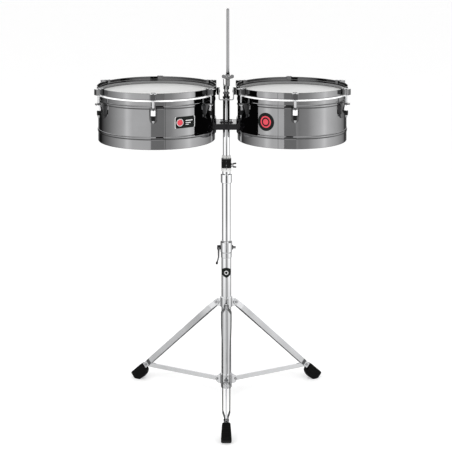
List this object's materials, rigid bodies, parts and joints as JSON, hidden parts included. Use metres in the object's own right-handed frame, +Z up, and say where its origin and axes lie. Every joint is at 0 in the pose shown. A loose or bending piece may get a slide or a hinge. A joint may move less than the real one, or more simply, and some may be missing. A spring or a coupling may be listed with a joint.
{
  "type": "timbales",
  "caption": "Shallow metal shell drums on a cross bracket, carried by a height post on a folding tripod, with hooks, tuning rods and an upright cowbell rod between them",
  "frame": {"origin": "on the floor, on the axis of the height post, where the three feet stand level", "axes": "+Z up along the post, +X towards the small drum, -Y towards the leg that points at the viewer; both drum axes lie in the plane y = 0"},
  "size_m": [0.8202, 0.5856, 1.272],
  "materials": {
    "base_tube": "polished",
    "stand_badge": "gloss",
    "upper_collar": "polished",
    "leg_pivot_pins": "polished",
    "lower_collar": "polished",
    "brace_pivot_bolts": "polished",
    "leg_lock_screw": "polished",
    "front_leg": "polished",
    "left_leg": "polished",
    "right_leg": "polished",
    "front_foot": "matte, fine ribs",
    "left_foot": "matte, fine ribs",
    "right_foot": "matte, fine ribs",
    "front_brace": "polished",
    "left_brace": "polished",
    "right_brace": "polished",
    "front_rivets": "polished",
    "left_rivets": "polished",
    "right_rivets": "polished",
    "mid_tube": "polished",
    "lower_clamp": "polished casting",
    "lower_clamp_bolt": "polished",
    "lower_clamp_lever": "polished",
    "upper_sleeve": "polished",
    "upper_bushing": "satin",
    "upper_clamp": "satin black",
    "upper_clamp_screw": "polished",
    "drum_post": "polished",
    "cross_bracket": "gloss black",
    "bracket_hub": "dark polished",
    "hub_screws": "polished",
    "mount_bolts": "dark polished",
    "post_cap": "satin",
    "hoop_guard": "polished",
    "guard_bumpers": "matte",
    "cowbell_post": "black nickel",
    "post_collar": "black nickel",
    "rod_clamp": "polished casting",
    "rod_eyebolt": "polished",
    "rod_wing_nut": "polished",
    "cowbell_rod": "polished",
    "rod_stop": "satin",
    "large_shell": "black nickel mirror",
    "small_shell": "black nickel mirror",
    "large_head": "satin film",
    "small_head": "satin film",
    "large_flesh_hoop": "bright",
    "small_flesh_hoop": "bright",
    "large_hoop": "black nickel mirror",
    "small_hoop": "black nickel mirror",
    "large_claws": "black nickel mirror",
    "small_claws": "black nickel mirror",
    "large_rods": "polished",
    "small_rods": "polished",
    "lug_brackets": "black nickel mirror",
    "tuning_nuts": "polished",
    "nut_sleeves": "satin",
    "lug_screws": "polished",
    "large_badge": "gloss black",
    "small_badge": "gloss black"
  },
  "bodies": {
    "stand_base": {"base_tube": "base_tube", "stand_badge": "stand_badge", "upper_collar": "upper_collar", "leg_pivot_pins": "leg_pivot_pins", "lower_clamp": "lower_clamp", "lower_clamp_bolt": "lower_clamp_bolt"},
    "leg_slider": {"lower_collar": "lower_collar", "brace_pivot_bolts": "brace_pivot_bolts"},
    "leg_lock": {"leg_lock_screw": "leg_lock_screw"},
    "front_brace_arm": {"front_brace": "front_brace"},
    "left_brace_arm": {"left_brace": "left_brace"},
    "right_brace_arm": {"right_brace": "right_brace"},
    "front_leg_arm": {"front_leg": "front_leg", "front_foot": "front_foot", "front_rivets": "front_rivets"},
    "left_leg_arm": {"left_leg": "left_leg", "left_foot": "left_foot", "left_rivets": "left_rivets"},
    "right_leg_arm": {"right_leg": "right_leg", "right_foot": "right_foot", "right_rivets": "right_rivets"},
    "clamp_lever": {"lower_clamp_lever": "lower_clamp_lever"},
    "mid_stage": {"mid_tube": "mid_tube", "upper_sleeve": "upper_sleeve"},
    "swivel_clamp": {"upper_bushing": "upper_bushing", "upper_clamp": "upper_clamp"},
    "clamp_screw": {"upper_clamp_screw": "upper_clamp_screw"},
    "rack": {"drum_post": "drum_post", "cross_bracket": "cross_bracket", "bracket_hub": "bracket_hub", "hub_screws": "hub_screws", "mount_bolts": "mount_bolts", "post_cap": "post_cap", "hoop_guard": "hoop_guard", "guard_bumpers": "guard_bumpers", "large_shell": "large_shell", "small_shell": "small_shell", "large_head": "large_head", "small_head": "small_head", "large_flesh_hoop": "large_flesh_hoop", "small_flesh_hoop": "small_flesh_hoop", "lug_brackets": "lug_brackets", "tuning_nuts": "tuning_nuts", "nut_sleeves": "nut_sleeves", "lug_screws": "lug_screws", "large_badge": "large_badge", "small_badge": "small_badge"},
    "large_tuning": {"large_hoop": "large_hoop", "large_claws": "large_claws", "large_rods": "large_rods"},
    "small_tuning": {"small_hoop": "small_hoop", "small_claws": "small_claws", "small_rods": "small_rods"},
    "bell_post": {"cowbell_post": "cowbell_post", "post_collar": "post_collar", "rod_clamp": "rod_clamp", "rod_eyebolt": "rod_eyebolt"},
    "wing_nut": {"rod_wing_nut": "rod_wing_nut"},
    "bell_rod": {"cowbell_rod": "cowbell_rod", "rod_stop": "rod_stop"}
  },
  "joints": [
    {"name": "legs_fold", "type": "slide", "parent": "stand_base", "child": "leg_slider", "axis": [0, 0, 1], "range_m": [0, 0.15293]},
    {"name": "front_brace_fold", "type": "hinge", "parent": "leg_slider", "child": "front_brace_arm", "pos_m": [0, -0.032, 0.0573], "axis": [1, 0, 0], "range_deg": [0, 88.49]},
    {"name": "left_brace_fold", "type": "hinge", "parent": "leg_slider", "child": "left_brace_arm", "pos_m": [-0.02771, 0.016, 0.0573], "axis": [-0.5, -0.866, 0], "range_deg": [0, 88.49]},
    {"name": "right_brace_fold", "type": "hinge", "parent": "leg_slider", "child": "right_brace_arm", "pos_m": [0.02771, 0.016, 0.0573], "axis": [-0.5, 0.866, 0], "range_deg": [0, 88.49]},
    {"name": "front_leg_fold", "type": "hinge", "parent": "front_brace_arm", "child": "front_leg_arm", "pos_m": [0, -0.31101, 0.05228], "axis": [-1, 0, 0], "range_deg": [0, 41.21]},
    {"name": "left_leg_fold", "type": "hinge", "parent": "left_brace_arm", "child": "left_leg_arm", "pos_m": [-0.26934, 0.1555, 0.05228], "axis": [0.5, 0.866, 0], "range_deg": [0, 41.21]},
    {"name": "right_leg_fold", "type": "hinge", "parent": "right_brace_arm", "child": "right_leg_arm", "pos_m": [0.26934, 0.1555, 0.05228], "axis": [0.5, -0.866, 0], "range_deg": [0, 41.21]},
    {"name": "leg_lock_turn", "type": "hinge", "parent": "leg_slider", "child": "leg_lock", "pos_m": [0, 0.03, 0.0693], "axis": [0, 1, 0], "continuous": true},
    {"name": "lever_turn", "type": "hinge", "parent": "stand_base", "child": "clamp_lever", "pos_m": [0, 0.028, 0.4825], "axis": [1, 0, 0], "continuous": true},
    {"name": "mid_height", "type": "slide", "parent": "stand_base", "child": "mid_stage", "axis": [0, 0, 1], "range_m": [-0.18, 0.1]},
    {"name": "rack_swivel", "type": "hinge", "parent": "mid_stage", "child": "swivel_clamp", "pos_m": [0, 0, 0.745], "axis": [0, 0, 1], "continuous": true},
    {"name": "post_height", "type": "slide", "parent": "swivel_clamp", "child": "rack", "axis": [0, 0, 1], "range_m": [-0.086, 0.1]},
    {"name": "clamp_screw_turn", "type": "hinge", "parent": "swivel_clamp", "child": "clamp_screw", "pos_m": [0, -0.018, 0.7626], "axis": [1, 0, 0], "continuous": true},
    {"name": "large_head_tuning", "type": "slide", "parent": "rack", "child": "large_tuning", "axis": [0, 0, 1], "range_m": [0, 0.012]},
    {"name": "small_head_tuning", "type": "slide", "parent": "rack", "child": "small_tuning", "axis": [0, 0, 1], "range_m": [0, 0.012]},
    {"name": "bell_post_swivel", "type": "hinge", "parent": "rack", "child": "bell_post", "pos_m": [0, 0, 1], "axis": [0, 0, 1], "continuous": true},
    {"name": "wing_nut_turn", "type": "hinge", "parent": "bell_post", "child": "wing_nut", "pos_m": [0.005, -0.02, 1.047], "axis": [0, -1, 0], "continuous": true},
    {"name": "bell_rod_lift", "type": "slide", "parent": "bell_post", "child": "bell_rod", "axis": [0, 0, 1], "range_m": [0, 0.018]}
  ],
  "couplings": [
    {"joint": "front_brace_fold", "follows": "legs_fold", "rad_per_m": 10.097},
    {"joint": "front_leg_fold", "follows": "legs_fold", "rad_per_m": 4.7012},
    {"joint": "left_brace_fold", "follows": "legs_fold", "rad_per_m": 10.097},
    {"joint": "left_leg_fold", "follows": "legs_fold", "rad_per_m": 4.7012},
    {"joint": "right_brace_fold", "follows": "legs_fold", "rad_per_m": 10.097},
    {"joint": "right_leg_fold", "follows": "legs_fold", "rad_per_m": 4.7012}
  ]
}
